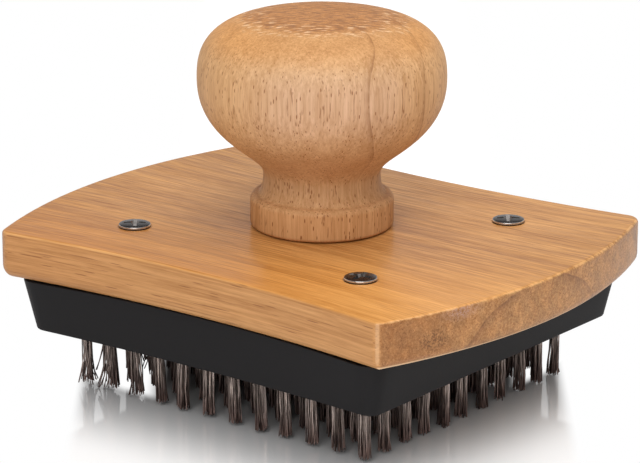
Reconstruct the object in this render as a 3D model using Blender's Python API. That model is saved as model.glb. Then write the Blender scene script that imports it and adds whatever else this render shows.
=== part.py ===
"""A stone cleaning brush: a turned wooden knob on a wooden board, a black plastic block and steel wire tufts.

Metres, +Z up. X runs along the board's long sides. The origin is under the middle of the brush, on the
plane that the wire tips stand on.
"""
import math

import bmesh
import bpy
from mathutils import Matrix, Vector

# Board, measured between its four corners before they are rounded
board_span_x = 0.1212
board_span_y = 0.1126
board_thickness = 0.0124
board_end_bow = 0.0116
board_side_waist = 0.0046
board_corner_radius = 0.0026
board_least_corner = 0.0004
board_top_ease = 0.0009
board_under_round = 0.0033

# Block under the board, measured round its lower edge
block_span_x = 0.1105
block_span_y = 0.1027
block_height = 0.0137
block_side_waist = 0.0021
block_flare = 0.0029
block_corner_radius = 0.0038
block_edge_chamfer = 0.0006

# Wire tufts
tuft_pitch = 0.0082
tuft_columns = 12
tufts_in_row = 11
tuft_free_length = 0.0161
tuft_root_depth = 0.0065
tuft_root_radius = 0.0011
tuft_hole_radius = 0.00165
strip_width = 0.0044
strip_thickness = 0.0008
strip_end_margin = 0.0030
strand_radius = 0.00075
strand_ring = 0.00085
strand_splay = 0.00055
tuft_lean = 0.00045
strand_bite_share = 0.4
strands_in_tuft = 3
strand_sides = 3

# Knob, turned from one piece
knob_height = 0.0548
bulb_radius = 0.0318
bulb_middle = 0.0385
bulb_handle = 0.0160
neck_radius = 0.0150
neck_middle = 0.0135
neck_handle = 0.0060
foot_radius = 0.0184
foot_height = 0.0083
foot_rim_round = 0.0017
foot_edge_round = 0.0010
crown_round_share = 0.56
crown_rise_share = 0.76

# Screws that hold the board to the block, set in from the block's lower edge
screw_inset_x = 0.0188
screw_inset_y = 0.0201
screw_head_radius = 0.0041
screw_head_rise = 0.0005
screw_head_rim = 0.0003
screw_head_proud = 0.0003
screw_cone_depth = 0.0022
screw_shank_radius = 0.0020
screw_length = 0.0175
screw_point = 0.0030
recess_reach = 0.0034
recess_width = 0.0011
recess_depth = 0.0019
recess_floor_share = 0.45

# Screw that holds the knob, driven up through the board
knob_screw_head_radius = 0.0046
knob_screw_cone_depth = 0.0027
knob_screw_shank_radius = 0.0024
knob_screw_length = 0.0420
knob_screw_point = 0.0040

# Clearance between pieces that touch on the real brush, and how far a cutter runs past a face
clearance = 0.0003
overrun = 0.0010

# Counts
outline_steps = 12
corner_steps = 3
knob_sides = 40
bulb_steps = 9
round_steps = 3
screw_sides = 20
hole_sides = 6
root_sides = 4

# Heights and places that follow from the sizes above
block_bottom = tuft_free_length
block_top = block_bottom + block_height
board_bottom = block_top + clearance
board_top = board_bottom + board_thickness
knob_bottom = board_top + clearance
screw_place_x = block_span_x / 2 - screw_inset_x
screw_place_y = block_span_y / 2 - screw_inset_y

WOOD = ((0.62, 0.33, 0.13, 1.0), 0.42, 0.0)
BLACK_PLASTIC = ((0.022, 0.020, 0.022, 1.0), 0.50, 0.0)
PLATED_STEEL = ((0.62, 0.60, 0.57, 1.0), 0.25, 1.0)
STEEL_WIRE = ((0.19, 0.155, 0.135, 1.0), 0.45, 1.0)


def clear_scene():
    for item in list(bpy.data.objects):
        bpy.data.objects.remove(item, do_unlink=True)


def make_material(name, look):
    """One Principled material with a colour, a roughness and a metallic value."""
    colour, roughness, metallic = look
    material = bpy.data.materials.new(name)
    material.use_nodes = True
    shader = material.node_tree.nodes["Principled BSDF"]
    shader.inputs["Base Color"].default_value = colour
    shader.inputs["Roughness"].default_value = roughness
    shader.inputs["Metallic"].default_value = metallic
    material.diffuse_color = colour
    return material


def object_from_bmesh(name, bm):
    """Turns a finished bmesh into an object of the scene, its faces pointing out."""
    bmesh.ops.recalc_face_normals(bm, faces=bm.faces)
    mesh = bpy.data.meshes.new(name)
    bm.to_mesh(mesh)
    bm.free()
    obj = bpy.data.objects.new(name, mesh)
    bpy.context.collection.objects.link(obj)
    return obj


def finish_node(obj, look, parent=None, smooth_angle=None):
    """Gives a node its own material, its parent and, where it is round, smooth shading."""
    obj.data.materials.append(make_material(obj.name + "_finish", look))
    if parent is not None:
        obj.parent = parent
    if smooth_angle is not None:
        obj.data.shade_smooth()
        obj.data.set_sharp_from_angle(angle=smooth_angle)
    return obj


def add_boolean(obj, other, operation):
    """A live Boolean with a guide object, which only the modifier reads."""
    modifier = obj.modifiers.new(other.name, "BOOLEAN")
    modifier.operation = operation
    modifier.solver = "EXACT"
    modifier.object = other
    other.hide_render = True
    other.display_type = "WIRE"
    other.parent = obj.parent


def loft(bm, rings):
    """Joins closed rings of equal point counts, caps both ends and keeps the result one closed shape."""
    layers = [[bm.verts.new(point) for point in ring] for ring in rings]
    count = len(layers[0])
    for lower, upper in zip(layers, layers[1:]):
        for i in range(count):
            j = (i + 1) % count
            bm.faces.new((lower[i], lower[j], upper[j], upper[i]))
    bm.faces.new(list(reversed(layers[0])))
    bm.faces.new(layers[-1])


def turned(name, profile, sides):
    """Turns a profile of (radius, height) points round Z. Its first and last points lie on the axis."""
    bm = bmesh.new()
    start = bm.verts.new((0, 0, profile[0][1]))
    end = bm.verts.new((0, 0, profile[-1][1]))
    rings = []
    for radius, height in profile[1:-1]:
        turns = [2 * math.pi * i / sides for i in range(sides)]
        rings.append([bm.verts.new((radius * math.cos(a), radius * math.sin(a), height)) for a in turns])
    for i in range(sides):
        j = (i + 1) % sides
        bm.faces.new((start, rings[0][j], rings[0][i]))
        for lower, upper in zip(rings, rings[1:]):
            bm.faces.new((lower[i], lower[j], upper[j], upper[i]))
        bm.faces.new((end, rings[-1][i], rings[-1][j]))
    return object_from_bmesh(name, bm)


def bowed_side(start, end, bow, steps):
    """Points from start up to, not including, end, on a curve that bows out to the right by bow."""
    along = end - start
    outward = Vector((along.y, -along.x)).normalized()
    points = []
    for i in range(steps):
        share = i / steps
        points.append(start + along * share + outward * bow * 4 * share * (1 - share))
    return points


def four_sided_outline(span_x, span_y, end_bow, side_waist):
    """Anticlockwise outline with bowed ends and long sides that are drawn in at the middle."""
    half_x = span_x / 2
    half_y = span_y / 2
    corners = [Vector(c) for c in ((-half_x, -half_y), (half_x, -half_y), (half_x, half_y), (-half_x, half_y))]
    bows = (-side_waist, end_bow, -side_waist, end_bow)
    outline = []
    for i, bow in enumerate(bows):
        outline += bowed_side(corners[i], corners[(i + 1) % 4], bow, outline_steps)
    return outline


def moved_in(outline, distance):
    """The same outline with every edge moved inwards by a distance, corners kept as mitres."""
    moved = []
    count = len(outline)
    for i, point in enumerate(outline):
        before = (point - outline[i - 1]).normalized()
        after = (outline[(i + 1) % count] - point).normalized()
        normal_before = Vector((-before.y, before.x))
        normal_after = Vector((-after.y, after.x))
        mitre = (normal_before + normal_after) / (1 + normal_before.dot(normal_after))
        moved.append(point + mitre * distance)
    return moved


def rounded_corners(outline, radius):
    """Replaces the four corners of a four-sided outline by arcs and leaves its sides as they are."""
    rounded = []
    count = len(outline)
    for i, point in enumerate(outline):
        if i % outline_steps:
            rounded.append(point)
            continue
        before = (outline[i - 1] - point).normalized()
        after = (outline[(i + 1) % count] - point).normalized()
        half = before.angle(after) / 2
        centre = point + (before + after).normalized() * (radius / math.sin(half))
        first = point + before * (radius / math.tan(half))
        start = math.atan2(first.y - centre.y, first.x - centre.x)
        sweep = math.pi - 2 * half
        for k in range(corner_steps + 1):
            angle = start + sweep * k / corner_steps
            rounded.append(centre + Vector((math.cos(angle), math.sin(angle))) * radius)
    return rounded


def at_height(outline, height):
    return [(point.x, point.y, height) for point in outline]


def quarter_turns():
    """Angles from zero to a right angle, for the rounding of an edge."""
    return [math.pi / 2 * i / round_steps for i in range(round_steps + 1)]


def board_outline(inset):
    """The board's outline moved in by an inset, its corners rounded less the further in it lies."""
    outline = four_sided_outline(board_span_x, board_span_y, board_end_bow, board_side_waist)
    radius = max(board_corner_radius - inset, board_least_corner)
    return rounded_corners(moved_in(outline, inset), radius)


def make_board(parent):
    """The board: a prism with an eased top edge, a well rounded lower edge and five countersunk holes."""
    rings = []
    for angle in quarter_turns():
        height = board_bottom + board_under_round * (1 - math.cos(angle))
        rings.append(at_height(board_outline(board_under_round * (1 - math.sin(angle))), height))
    for angle in quarter_turns():
        height = board_top - board_top_ease * (1 - math.sin(angle))
        rings.append(at_height(board_outline(board_top_ease * (1 - math.cos(angle))), height))
    bm = bmesh.new()
    loft(bm, rings)
    board = object_from_bmesh("board", bm)
    finish_node(board, WOOD, parent, math.radians(35))
    for name, x, y in board_screw_places():
        hole = turned("board_hole_" + name, board_hole_profile(), screw_sides)
        hole.location = (x, y, 0)
        add_boolean(board, hole, "DIFFERENCE")
    add_boolean(board, turned("board_hole_knob", knob_screw_hole_profile(), screw_sides), "DIFFERENCE")
    return board


def board_screw_places():
    """The four screws by name, with the corner of the brush that each one stands at."""
    return (
        ("front", screw_place_x, -screw_place_y),
        ("right", screw_place_x, screw_place_y),
        ("left", -screw_place_x, -screw_place_y),
        ("back", -screw_place_x, screw_place_y),
    )


def board_hole_profile():
    """Half section of a countersunk hole through the board, with room for the screw."""
    shank = screw_shank_radius + clearance
    cone_top = board_top + screw_head_proud
    slope = (screw_head_radius - screw_shank_radius) / screw_cone_depth
    cone_bottom = cone_top - screw_cone_depth - clearance
    mouth = shank + slope * (board_top + overrun - cone_bottom)
    return [
        (0, board_bottom - overrun),
        (shank, board_bottom - overrun),
        (shank, cone_bottom),
        (mouth, board_top + overrun),
        (0, board_top + overrun),
    ]


def make_board_screws(parent):
    """Four raised-head wood screws, each turned from a profile and cut with a cross recess."""
    rim_bottom = board_top + screw_head_proud
    rim_top = rim_bottom + screw_head_rim
    tip = rim_top - screw_length
    profile = [
        (0, tip),
        (screw_shank_radius, tip + screw_point),
        (screw_shank_radius, rim_bottom - screw_cone_depth),
        (screw_head_radius, rim_bottom),
        (screw_head_radius, rim_top),
    ]
    for angle in quarter_turns()[1:-1]:
        profile.append((screw_head_radius * math.cos(angle), rim_top + screw_head_rise * math.sin(angle)))
    profile.append((0, rim_top + screw_head_rise))
    for i, (name, x, y) in enumerate(board_screw_places()):
        screw = turned("board_screw_" + name, profile, screw_sides)
        screw.location = (x, y, 0)
        finish_node(screw, PLATED_STEEL, parent, math.radians(35))
        recess = cross_recess("recess_" + name, rim_top + screw_head_rise)
        recess.location = (x, y, 0)
        recess.rotation_euler = (0, 0, math.pi * i / 5)
        add_boolean(screw, recess, "DIFFERENCE")


def cross_recess(name, head_top):
    """A cutter shaped like the point of a cross driver: a plus outline that narrows towards its floor."""
    rings = []
    for height, share in ((head_top - recess_depth, recess_floor_share), (head_top + overrun, 1)):
        arm = recess_reach * share
        half = recess_width / 2
        corner = [Vector((arm, -half)), Vector((arm, half)), Vector((half, half))]
        outline = []
        for turn in range(4):
            spin = Matrix.Rotation(math.pi / 2 * turn, 2)
            outline += [spin @ point for point in corner]
        rings.append(at_height(outline, height))
    bm = bmesh.new()
    loft(bm, rings)
    return object_from_bmesh(name, bm)


def make_knob_screw(parent):
    """A flat-head wood screw, its head flush in the underside of the board and its point in the knob."""
    profile = [
        (0, board_bottom),
        (knob_screw_head_radius, board_bottom),
        (knob_screw_shank_radius, board_bottom + knob_screw_cone_depth),
        (knob_screw_shank_radius, board_bottom + knob_screw_length - knob_screw_point),
        (0, board_bottom + knob_screw_length),
    ]
    return finish_node(turned("knob_screw", profile, screw_sides), PLATED_STEEL, parent, math.radians(35))


def knob_screw_hole_profile():
    """Half section of the hole that the knob screw passes through, countersunk from below."""
    shank = knob_screw_shank_radius + clearance
    slope = (knob_screw_head_radius - knob_screw_shank_radius) / knob_screw_cone_depth
    cone_top = board_bottom + knob_screw_cone_depth + clearance
    mouth = shank + slope * (cone_top - board_bottom + overrun)
    return [
        (0, board_bottom - overrun),
        (mouth, board_bottom - overrun),
        (shank, cone_top),
        (shank, board_top + overrun),
        (0, board_top + overrun),
    ]


def bezier(start, handle_a, handle_b, end, steps):
    """Points after start on a cubic curve given by its ends and handles."""
    points = []
    for i in range(1, steps + 1):
        t = i / steps
        s = 1 - t
        points.append(start * s**3 + handle_a * 3 * s * s * t + handle_b * 3 * s * t * t + end * t**3)
    return points


def make_knob(parent):
    """The knob: foot, hollowed neck, round bulb and flattened crown in one turned profile, with a pilot hole."""
    bore = knob_screw_shank_radius + clearance
    bore_top = board_bottom + knob_screw_length + clearance - knob_bottom
    profile = [(0, bore_top), (bore, bore_top - knob_screw_point), (bore, 0)]
    for angle in quarter_turns():
        radius = foot_radius - foot_edge_round * (1 - math.sin(angle))
        profile.append((radius, foot_edge_round * (1 - math.cos(angle))))
    rim_radius = foot_radius - foot_rim_round
    for angle in quarter_turns():
        height = foot_height - foot_rim_round * (1 - math.sin(angle))
        profile.append((rim_radius + foot_rim_round * math.cos(angle), height))
    for angle in reversed(quarter_turns()[:-1]):
        radius = neck_radius + (rim_radius - neck_radius) * (1 - math.cos(angle))
        profile.append((radius, neck_middle - (neck_middle - foot_height) * math.sin(angle)))
    neck = Vector((neck_radius, neck_middle))
    neck_pull = Vector((neck_radius, neck_middle + neck_handle))
    bulb_pull = Vector((bulb_radius, bulb_middle - bulb_handle))
    bulb = Vector((bulb_radius, bulb_middle))
    profile += [tuple(point) for point in bezier(neck, neck_pull, bulb_pull, bulb, bulb_steps)]
    crown = knob_height - bulb_middle
    for i in range(1, bulb_steps):
        angle = math.pi / 2 * i / bulb_steps
        radius = bulb_radius * math.cos(angle) ** crown_round_share
        profile.append((radius, bulb_middle + crown * math.sin(angle) ** crown_rise_share))
    profile.append((0, knob_height))
    knob = turned("knob", profile, knob_sides)
    knob.location = (0, 0, knob_bottom)
    return finish_node(knob, WOOD, parent, math.radians(35))


def box_rings(width, length, low, high):
    """The lower and upper outline of an upright box centred on Z."""
    half = [Vector(c) for c in ((-width, -length), (width, -length), (width, length), (-width, length))]
    outline = [point / 2 for point in half]
    return [at_height(outline, low), at_height(outline, high)]


def column_places():
    """Where each row of tufts stands along X."""
    return [tuft_pitch * (i - (tuft_columns - 1) / 2) for i in range(tuft_columns)]


def tuft_places():
    """Where each tuft of a row stands along Y."""
    return [tuft_pitch * (i - (tufts_in_row - 1) / 2) for i in range(tufts_in_row)]


def strip_length():
    return tuft_pitch * (tufts_in_row - 1) + 2 * (tuft_hole_radius + strip_end_margin)


def round_ring(x, y, radius, sides, height, start_angle):
    turns = [start_angle + 2 * math.pi * i / sides for i in range(sides)]
    return [(x + radius * math.cos(a), y + radius * math.sin(a), height) for a in turns]


def make_block(parent):
    """The block: tapered walls, rounded corners, a groove for each tuft row and a drilled hole for each tuft."""
    outline = four_sided_outline(block_span_x, block_span_y, 0, block_side_waist)
    outline = rounded_corners(outline, block_corner_radius)
    bm = bmesh.new()
    loft(bm, [
        at_height(moved_in(outline, block_edge_chamfer), block_bottom),
        at_height(outline, block_bottom + block_edge_chamfer),
        at_height(moved_in(outline, -block_flare), block_top),
    ])
    block = object_from_bmesh("brush_block", bm)
    finish_node(block, BLACK_PLASTIC, parent, math.radians(35))

    grooves = bmesh.new()
    groove_width = strip_width + 2 * clearance
    groove_length = strip_length() + 2 * clearance
    groove_top = block_bottom + strip_thickness + clearance
    for x in column_places():
        rings = box_rings(groove_width, groove_length, block_bottom - overrun, groove_top)
        loft(grooves, [[(px + x, py, pz) for px, py, pz in ring] for ring in rings])
    add_boolean(block, object_from_bmesh("row_grooves", grooves), "DIFFERENCE")

    holes = bmesh.new()
    hole_top = block_bottom + strip_thickness + tuft_root_depth + clearance
    for x in column_places():
        for y in tuft_places():
            loft(holes, [
                round_ring(x, y, tuft_hole_radius, hole_sides, block_bottom - overrun, 0),
                round_ring(x, y, tuft_hole_radius, hole_sides, hole_top, 0),
            ])
    add_boolean(block, object_from_bmesh("tuft_holes", holes), "DIFFERENCE")

    bore = screw_shank_radius + clearance
    rim_top = board_top + screw_head_proud + screw_head_rim
    tip = rim_top - screw_length - clearance
    profile = [(0, tip), (bore, tip + screw_point), (bore, block_top + overrun), (0, block_top + overrun)]
    for name, x, y in board_screw_places():
        pilot = turned("pilot_" + name, profile, screw_sides)
        pilot.location = (x, y, 0)
        add_boolean(block, pilot, "DIFFERENCE")
    return block


def make_tuft_row(number, x, parent):
    """One row of tufts: a strip of the backing, a root under each tuft and three splayed strands, tips cut flat."""
    name = "tuft_row_%02d" % number
    strip_top = block_bottom + strip_thickness
    bm = bmesh.new()
    loft(bm, box_rings(strip_width, strip_length(), block_bottom, strip_top))
    row = object_from_bmesh(name, bm)
    row.location = (x, 0, 0)

    wires = bmesh.new()
    bite = strip_thickness * strand_bite_share
    for i, y in enumerate(tuft_places()):
        root_rings = [
            round_ring(0, y, tuft_root_radius, root_sides, strip_top - bite, 0),
            round_ring(0, y, tuft_root_radius, root_sides, strip_top + tuft_root_depth, 0),
        ]
        loft(wires, root_rings)
        spin = math.pi * (3 - math.sqrt(5)) * (i + number * tufts_in_row)
        lean = Vector((math.cos(spin), math.sin(spin))) * tuft_lean
        for k in range(strands_in_tuft):
            angle = spin + 2 * math.pi * k / strands_in_tuft
            out = Vector((math.cos(angle), math.sin(angle)))
            top = Vector((0, y)) + out * strand_ring
            tip = top + lean + out * strand_splay
            loft(wires, [
                round_ring(tip.x, tip.y, strand_radius, strand_sides, 0, angle),
                round_ring(top.x, top.y, strand_radius, strand_sides, block_bottom + bite, angle),
            ])
    guide = object_from_bmesh(name + "_wires", wires)
    guide.location = (x, 0, 0)
    finish_node(row, STEEL_WIRE, parent)
    add_boolean(row, guide, "UNION")
    return row


def make_brush():
    brush = bpy.data.objects.new("brush", None)
    bpy.context.collection.objects.link(brush)
    make_board(brush)
    make_knob(brush)
    make_knob_screw(brush)
    make_board_screws(brush)
    make_block(brush)
    for i, x in enumerate(column_places()):
        make_tuft_row(i + 1, x, brush)


clear_scene()
make_brush()
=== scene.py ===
# %% [markdown]
# # A stone cleaning brush
# A turned wooden knob stands on a wooden board. Four cross-head screws hold the board to a black
# plastic block, and steel wire tufts stand in the block's underside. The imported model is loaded
# first and never changed: it says where every piece stands, and each fine piece below takes the
# place of one or more of its nodes.

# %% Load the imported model
import math

import bmesh
import bpy
from mathutils import Matrix, Vector


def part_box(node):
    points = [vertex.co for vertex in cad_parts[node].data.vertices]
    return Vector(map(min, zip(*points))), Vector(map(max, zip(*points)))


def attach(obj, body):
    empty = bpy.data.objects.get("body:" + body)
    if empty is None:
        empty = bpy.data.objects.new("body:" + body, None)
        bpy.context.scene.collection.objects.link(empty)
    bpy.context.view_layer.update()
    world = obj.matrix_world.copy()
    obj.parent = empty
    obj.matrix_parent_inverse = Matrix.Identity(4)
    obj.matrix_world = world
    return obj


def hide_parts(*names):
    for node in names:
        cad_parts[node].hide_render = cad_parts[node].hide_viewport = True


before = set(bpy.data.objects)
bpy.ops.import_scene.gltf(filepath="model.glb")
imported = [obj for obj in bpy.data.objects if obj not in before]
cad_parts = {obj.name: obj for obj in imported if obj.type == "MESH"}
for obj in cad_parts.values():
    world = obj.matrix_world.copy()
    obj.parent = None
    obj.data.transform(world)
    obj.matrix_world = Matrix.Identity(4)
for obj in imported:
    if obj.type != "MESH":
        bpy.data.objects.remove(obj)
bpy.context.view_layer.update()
MM = 0.001

# %% [markdown]
# ## Camera
# The camera looks slightly down on one corner of the brush through a long lens. Its azimuth, height
# and distance were worked out from the corners of the board, the foot of the knob and the screws in
# the photograph. It aims at a point close to the knob's axis, so it can be written as an orbit.

# %% Camera
orbit_azimuth = math.radians(38.11)
orbit_elevation = math.radians(16.94)
orbit_distance = 0.906
aim = Vector((-0.4, -0.3, 40.4)) * MM
lens_mm = 198.3


def on_orbit(azimuth, elevation, distance):
    """A place on a sphere round the aim point, and the turn that looks back at that point."""
    turn = Matrix.Rotation(azimuth, 4, "Z") @ Matrix.Rotation(math.pi / 2 - elevation, 4, "X")
    return aim + turn @ Vector((0, 0, distance)), turn.to_euler()


camera_data = bpy.data.cameras.new("camera")
camera_data.lens = lens_mm
camera = bpy.data.objects.new("camera", camera_data)
camera.location, camera.rotation_euler = on_orbit(orbit_azimuth, orbit_elevation, orbit_distance)
bpy.context.collection.objects.link(camera)
bpy.context.scene.camera = camera
bpy.context.scene.view_settings.view_transform = "Standard"
print("camera at", [round(value, 3) for value in camera.location])

# %% [markdown]
# ## Node trees written as sums
# Both the finishes and the repeated shapes are node trees. A small class wraps one socket of a tree:
# a sum written on it in Python adds the Math nodes for it, and one method adds any other node. The
# same class serves shader trees and geometry trees, because a Math node is the same in both.

# %% A socket that can be used in sums


def pick(sockets, key):
    """A socket by its place, by its name, or the first one in use."""
    if isinstance(key, int):
        return sockets[key]
    return next(socket for socket in sockets if socket.enabled and key in (None, socket.name))


class Flow:
    """One output socket of a node tree, with arithmetic that adds nodes to that tree."""

    def __init__(self, tree, socket=None):
        self.tree = tree
        self.socket = socket

    def node(self, kind, inputs=None, output=None, **settings):
        """Adds a node: its settings first, then the values or links of its sockets."""
        node = self.tree.nodes.new(kind)
        for name, value in settings.items():
            setattr(node, name, value)
        for name, value in (inputs or {}).items():
            socket = pick(node.inputs, name)
            if isinstance(value, Flow):
                self.tree.links.new(value.socket, socket)
            else:
                socket.default_value = value
        return Flow(self.tree, pick(node.outputs, output) if node.outputs else None)

    def out(self, name):
        """Another output of the same node."""
        return Flow(self.tree, pick(self.socket.node.outputs, name))

    def math(self, operation, *others):
        return self.node("ShaderNodeMath", dict(enumerate((self,) + others)), operation=operation)

    def __add__(self, other):
        return self.math("ADD", other)

    def __mul__(self, other):
        return self.math("MULTIPLY", other)

    def __sub__(self, other):
        return self.math("SUBTRACT", other)

    def __rsub__(self, other):
        return self.node("ShaderNodeMath", {0: other, 1: self}, operation="SUBTRACT")

    def __truediv__(self, other):
        return self.math("DIVIDE", other)

    def __pow__(self, other):
        return self.math("POWER", other)

    __radd__ = __add__
    __rmul__ = __mul__

    def vector(self, operation, *others):
        """Vector Math on this vector, for example MULTIPLY or LENGTH."""
        return self.node("ShaderNodeVectorMath", dict(enumerate((self,) + others)), operation=operation)

    def part(self, axis):
        """One coordinate of a vector."""
        return self.node("ShaderNodeSeparateXYZ", {0: self}, axis)

    def far_from(self, place, scale):
        """How far this point is from a place, with a scale of its own along each axis."""
        return self.vector("SUBTRACT", place).vector("MULTIPLY", scale).vector("LENGTH")

    def noise(self, scale, detail, roughness=0.5):
        """Noise at this point, with its scale in bumps for each unit of length."""
        look = {"Vector": self, "Scale": scale, "Detail": detail, "Roughness": roughness}
        return self.node("ShaderNodeTexNoise", look)

    def xyz(self, x=0, y=0, z=0):
        """A vector from three values, for the tree that this value is in."""
        return self.node("ShaderNodeCombineXYZ", {"X": x, "Y": y, "Z": z})

    def place(self):
        """The point of the surface, in the object's own coordinates."""
        return self.node("ShaderNodeTexCoord", output="Object")

    def step(self, low, high, low_value=0, high_value=1):
        """A smooth change from one value to another while this value goes from low to high."""
        limits = {"Value": self, "From Min": low, "From Max": high, "To Min": low_value, "To Max": high_value}
        return self.node("ShaderNodeMapRange", limits, interpolation_type="SMOOTHSTEP")

    def step_mm(self, low, high, low_value=0, high_value=1):
        """The same change for a length, with its limits in millimetres."""
        return self.step(low * MM, high * MM, low_value, high_value)

    def blend(self, first, second, how="MIX"):
        """Mixes two colours, with this value as the share of the second."""
        mixed = {"Factor": self, "A": first, "B": second}
        return self.node("ShaderNodeMix", mixed, data_type="RGBA", blend_type=how)


def new_material(name):
    """A material with an empty tree, and a start point for its nodes."""
    material = bpy.data.materials.new(name)
    material.use_nodes = True
    material.node_tree.nodes.clear()
    return material, Flow(material.node_tree)


def picture_ways(place):
    """How far a point lies to the right in the picture, and how far towards the camera."""
    x, y = place.part("X"), place.part("Y")
    sine, cosine = math.sin(orbit_azimuth), math.cos(orbit_azimuth)
    return x * cosine + y * sine, x * sine - y * cosine


# %% [markdown]
# ## Floor
# The brush was photographed on a glossy white table, and the picture was then cleaned up: its soft
# shadow lies in front of the brush only, fades into plain white within a few centimetres and ends in
# line with the outer wires. The floor is one sheet. Its colour carries a painted shadow: it is a pale
# grey under the brush and grows white with the distance from it. It also mirrors the wires weakly.
# Beside and behind the brush the camera sees plain white. That white is laid out on the floor itself,
# along two slanted lines through the outer wires, so it stays where it is when the camera moves.

# %% Floor
floor_half = 6.0
shade_middle = (-4 * MM, 0, 0)
shade_half = (42 * MM, 38 * MM, 0)
shade_width_mm = 40
shaded_level = 0.60
open_level = 1.30
unseen_share = 0.8
mirror_share = 0.28
mirror_roughness = 0.07
mirror_grey = (0.95, 0.95, 0.95, 1)
shadow_reach_mm = (60, 64)
left_line_slope = 0.784
left_line_mm = (-51, -44)
left_of_mm = (-46, -40)
right_line_slope = -1.276
right_line_mm = (-72, -65)
right_of_mm = (48, 54)


def mesh_object(name, bm):
    """An object of its own from a bmesh, at the origin."""
    mesh = bpy.data.meshes.new(name)
    bm.to_mesh(mesh)
    bm.free()
    obj = bpy.data.objects.new(name, mesh)
    bpy.context.collection.objects.link(obj)
    return obj


bm = bmesh.new()
corners = ((-1, -1), (1, -1), (1, 1), (-1, 1))
bm.faces.new([bm.verts.new((x * floor_half, y * floor_half, 0)) for x, y in corners])
floor = mesh_object("floor", bm)

floor_white, start = new_material("floor_white")
here = start.place()
from_middle = here.vector("SUBTRACT", shade_middle).vector("ABSOLUTE")
away = from_middle.vector("SUBTRACT", shade_half).vector("MAXIMUM", (0, 0, 0)).vector("LENGTH")
camera_ray = start.node("ShaderNodeLightPath", output="Is Camera Ray")
# Painted shadow: the floor's colour is grey near the brush and grows white away from it.
white = away.step_mm(0, shade_width_mm, shaded_level, open_level)
white = white * (camera_ray * (1 - unseen_share) + unseen_share)
across, nearer = picture_ways(here)
beside = across.math("ABSOLUTE").step_mm(*shadow_reach_mm)
left_back = (across * left_line_slope - nearer).step_mm(*left_line_mm) * across.step_mm(*left_of_mm, 1, 0)
right_back = (across * right_line_slope - nearer).step_mm(*right_line_mm) * across.step_mm(*right_of_mm)
plain = beside.math("MAXIMUM", left_back.math("MAXIMUM", right_back))
grey = start.node("ShaderNodeCombineColor", {"Red": white, "Green": white, "Blue": white})
matt = start.node("ShaderNodeBsdfDiffuse", {"Color": grey})
mirror = start.node("ShaderNodeBsdfGlossy", {"Color": mirror_grey, "Roughness": mirror_roughness})
surface = start.node("ShaderNodeMixShader", {0: mirror_share, 1: matt, 2: mirror})
cleaned = start.node("ShaderNodeEmission", {"Color": (1, 1, 1, 1), "Strength": 1.0})
surface = start.node("ShaderNodeMixShader", {0: plain * camera_ray, 1: surface, 2: cleaned})
start.node("ShaderNodeOutputMaterial", {"Surface": surface})
floor.data.materials.append(floor_white)
print("floor:", 2 * floor_half, "m wide")

# %% [markdown]
# ## Light
# A white room lights the brush from all sides, more from above than from its horizon. Two broad lamps
# give it its shape: one at the front and one high behind, which brightens the crown and the upper
# face of the board. Shiny metal would look flat in an all-white room, so for mirrored rays the
# ceiling is darker than the walls. The camera itself always sees plain white.

# %% Light
horizon_level = 0.16
overhead_level = 0.62
room_rise = (-0.1, 0.9)
mirrored_wall = 1.0
mirrored_ceiling = 0.22
ceiling_rise = (0.32, 0.62)

world = bpy.data.worlds.new("white_room")
world.use_nodes = True
world.node_tree.nodes.clear()
start = Flow(world.node_tree)
height = start.node("ShaderNodeTexCoord", output="Generated").part("Z")
mirrored_level = height.step(*ceiling_rise, mirrored_wall, mirrored_ceiling)
room_level = height.step(*room_rise, horizon_level, overhead_level)
camera_ray = start.node("ShaderNodeLightPath", output="Is Camera Ray")
mirrored = camera_ray.out("Is Glossy Ray").math("MAXIMUM", camera_ray.out("Is Transmission Ray"))
level = mirrored * mirrored_level + (1 - mirrored) * room_level
level = camera_ray.math("MAXIMUM", level * (1 - camera_ray))
sky = start.node("ShaderNodeBackground", {"Strength": level})
start.node("ShaderNodeOutputWorld", {"Surface": sky})
bpy.context.scene.world = world


def soft_lamp(name, azimuth, elevation, distance, size, power):
    """A square lamp on an orbit round the brush, its azimuth counted from the front in degrees."""
    data = bpy.data.lights.new(name, "AREA")
    data.size = size
    data.energy = power
    lamp = bpy.data.objects.new(name, data)
    lamp.location, lamp.rotation_euler = on_orbit(math.radians(azimuth), math.radians(elevation), distance)
    bpy.context.collection.objects.link(lamp)
    print("lamp", name, "at", [round(value, 2) for value in lamp.location])


soft_lamp("front_lamp", azimuth=30, elevation=40, distance=1.4, size=1.0, power=11.0)
soft_lamp("top_lamp", azimuth=150, elevation=76, distance=1.5, size=1.4, power=12.0)

# %% [markdown]
# ## Wood
# Both wooden pieces are cut from a pale tropical wood with long pores, so one recipe serves them. A
# real tree is a set of nested rings round its pith, and a board or a knob is a shape cut out of it.
# The recipe works the same way, as a solid pattern: the object's coordinates are moved and turned
# until the pith is the Z axis, and rings, fibres and pores are worked out in millimetres from there.
# Wherever the surface cuts the pattern, it shows long lines along the grain and dots across it. A
# board's fibres may also close up towards its waist, so that its long sides show unbroken lines.

# %% The wood recipe
grain_half_length = 60.6 * MM
usual_range = (0.36, 0.64)
slow_sway, quick_sway, mean_sway = 4, 0.4, 2.3
ring_sharpness = 22
tone_weights = {"bands": 0.22, "streaks": 0.20, "fibres": 0.26, "fine": 0.32}
tint, cover = "MULTIPLY", "MIX"


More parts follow.
